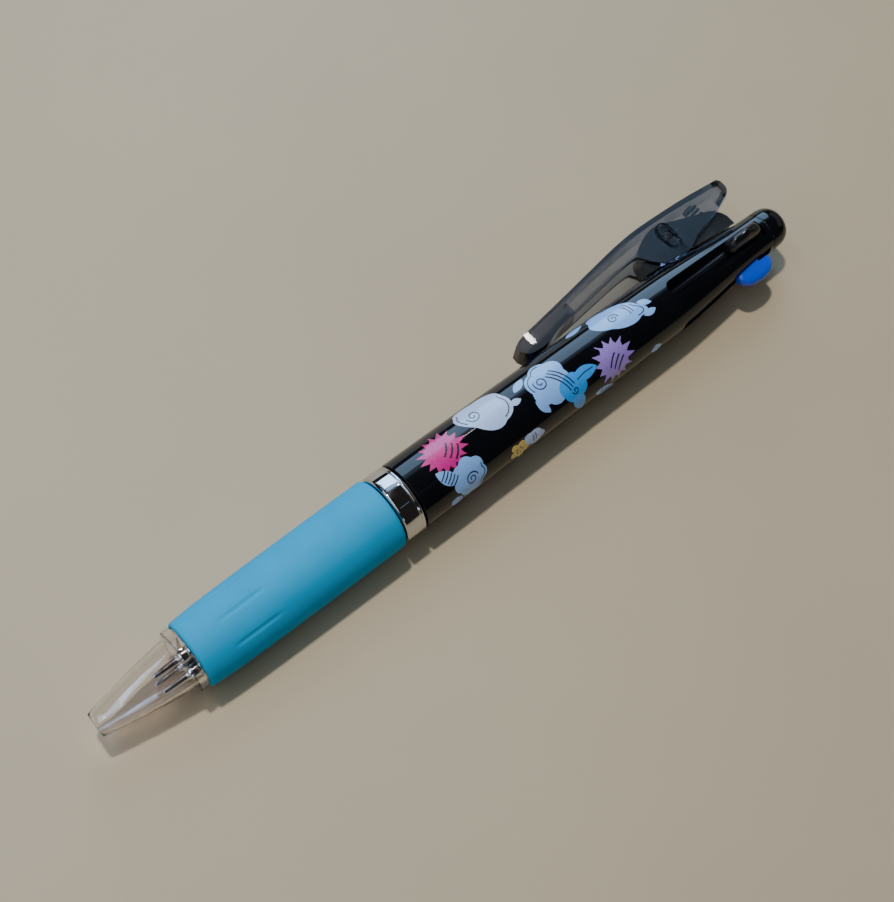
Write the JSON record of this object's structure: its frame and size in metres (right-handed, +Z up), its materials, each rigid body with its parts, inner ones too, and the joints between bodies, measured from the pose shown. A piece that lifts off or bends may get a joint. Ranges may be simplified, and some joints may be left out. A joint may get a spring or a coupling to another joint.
{
  "type": "multicolor click pen",
  "caption": "Click pen with colour sliders, sprung bending refills, clear nose, rubber grip, chrome ring and a sprung smoke-clear hinged clip.",
  "frame": {"origin": "under the middle of the pen's box as it lies on a table, on the table's surface", "axes": "+X along the pen from the writing end to the rear, +Y towards the clip, +Z up, which is the black slider's side"},
  "size_m": [0.145, 0.02, 0.014],
  "materials": {
    "clear_plastic": "clear, polished",
    "grip_rubber": "soft satin turquoise",
    "chrome": "polished",
    "black_matt": "fine moulded",
    "black_gloss": "high gloss",
    "white_plastic": "moulded",
    "steel": "drawn wire and pin stock",
    "tip_steel": "turned and polished",
    "smoke_plastic": "smoke-clear, polished",
    "refill_plastic": "translucent, satin",
    "black_knob": "gloss",
    "blue_knob": "gloss",
    "red_knob": "gloss",
    "black_ink": "liquid",
    "blue_ink": "liquid",
    "red_ink": "liquid",
    "print_film": "printed film on the barrel, in several colours"
  },
  "bodies": {
    "barrel": {"front_barrel": "clear_plastic", "grip_sleeve": "grip_rubber", "chrome_ring": "chrome", "threaded_coupling": "black_matt", "rear_barrel": "black_gloss", "end_cap": "black_gloss", "spring_seat": "white_plastic", "slider_guide": "black_matt", "clip_mount": "black_gloss", "clip_pin": "steel", "clip_spring": "steel", "return_spring_black": "steel", "return_spring_blue": "steel", "return_spring_red": "steel"},
    "clip": {"clip_lever": "smoke_plastic"},
    "slider_black": {"slider_black": "black_knob", "refill_tube_black": "refill_plastic", "refill_ink_black": "black_ink"},
    "slider_blue": {"slider_blue": "blue_knob", "refill_tube_blue": "refill_plastic", "refill_ink_blue": "blue_ink"},
    "slider_red": {"slider_red": "red_knob", "refill_tube_red": "refill_plastic", "refill_ink_red": "red_ink"},
    "point_black": {"refill_tip_black": "tip_steel", "refill_ball_black": "tip_steel"},
    "point_blue": {"refill_tip_blue": "tip_steel", "refill_ball_blue": "tip_steel"},
    "point_red": {"refill_tip_red": "tip_steel", "refill_ball_red": "tip_steel"}
  },
  "joints": [
    {"name": "slide_black", "type": "slide", "parent": "barrel", "child": "slider_black", "axis": [-1, 0, 0], "range_m": [0, 0.0129], "stiffness_N_per_m": 60, "springref_m": -0.008, "deforming": ["return_spring_black", "refill_tube_black", "refill_ink_black"]},
    {"name": "slide_blue", "type": "slide", "parent": "barrel", "child": "slider_blue", "axis": [-1, 0, 0], "range_m": [0, 0.0129], "stiffness_N_per_m": 60, "springref_m": -0.008, "deforming": ["return_spring_blue", "refill_tube_blue", "refill_ink_blue"]},
    {"name": "slide_red", "type": "slide", "parent": "barrel", "child": "slider_red", "axis": [-1, 0, 0], "range_m": [0, 0.0129], "stiffness_N_per_m": 60, "springref_m": -0.008, "deforming": ["return_spring_red", "refill_tube_red", "refill_ink_red"]},
    {"name": "bend_black", "type": "hinge", "parent": "slider_black", "child": "point_black", "pos_m": [0.0105, -0.00305, 0.0092], "axis": [0, -1, 0], "range_deg": [0, 1.2]},
    {"name": "bend_blue", "type": "hinge", "parent": "slider_blue", "child": "point_blue", "pos_m": [0.0105, -0.00525, 0.007], "axis": [0, 0, -1], "range_deg": [0, 1.2]},
    {"name": "bend_red", "type": "hinge", "parent": "slider_red", "child": "point_red", "pos_m": [0.0105, -0.00305, 0.0048], "axis": [0, 1, 0], "range_deg": [0, 1.2]},
    {"name": "clip_hinge", "type": "hinge", "parent": "barrel", "child": "clip", "pos_m": [0.0525, 0.00565, 0.007], "axis": [0, 0, -1], "range_deg": [0, 8], "stiffness_Nm_per_rad": 0.15, "springref_deg": -11.46, "deforming": ["clip_spring"]}
  ],
  "couplings": [
    {"joint": "bend_black", "follows": "slide_black", "rad_per_m": 1.4819},
    {"joint": "bend_blue", "follows": "slide_blue", "rad_per_m": 1.4819},
    {"joint": "bend_red", "follows": "slide_red", "rad_per_m": 1.4819}
  ]
}
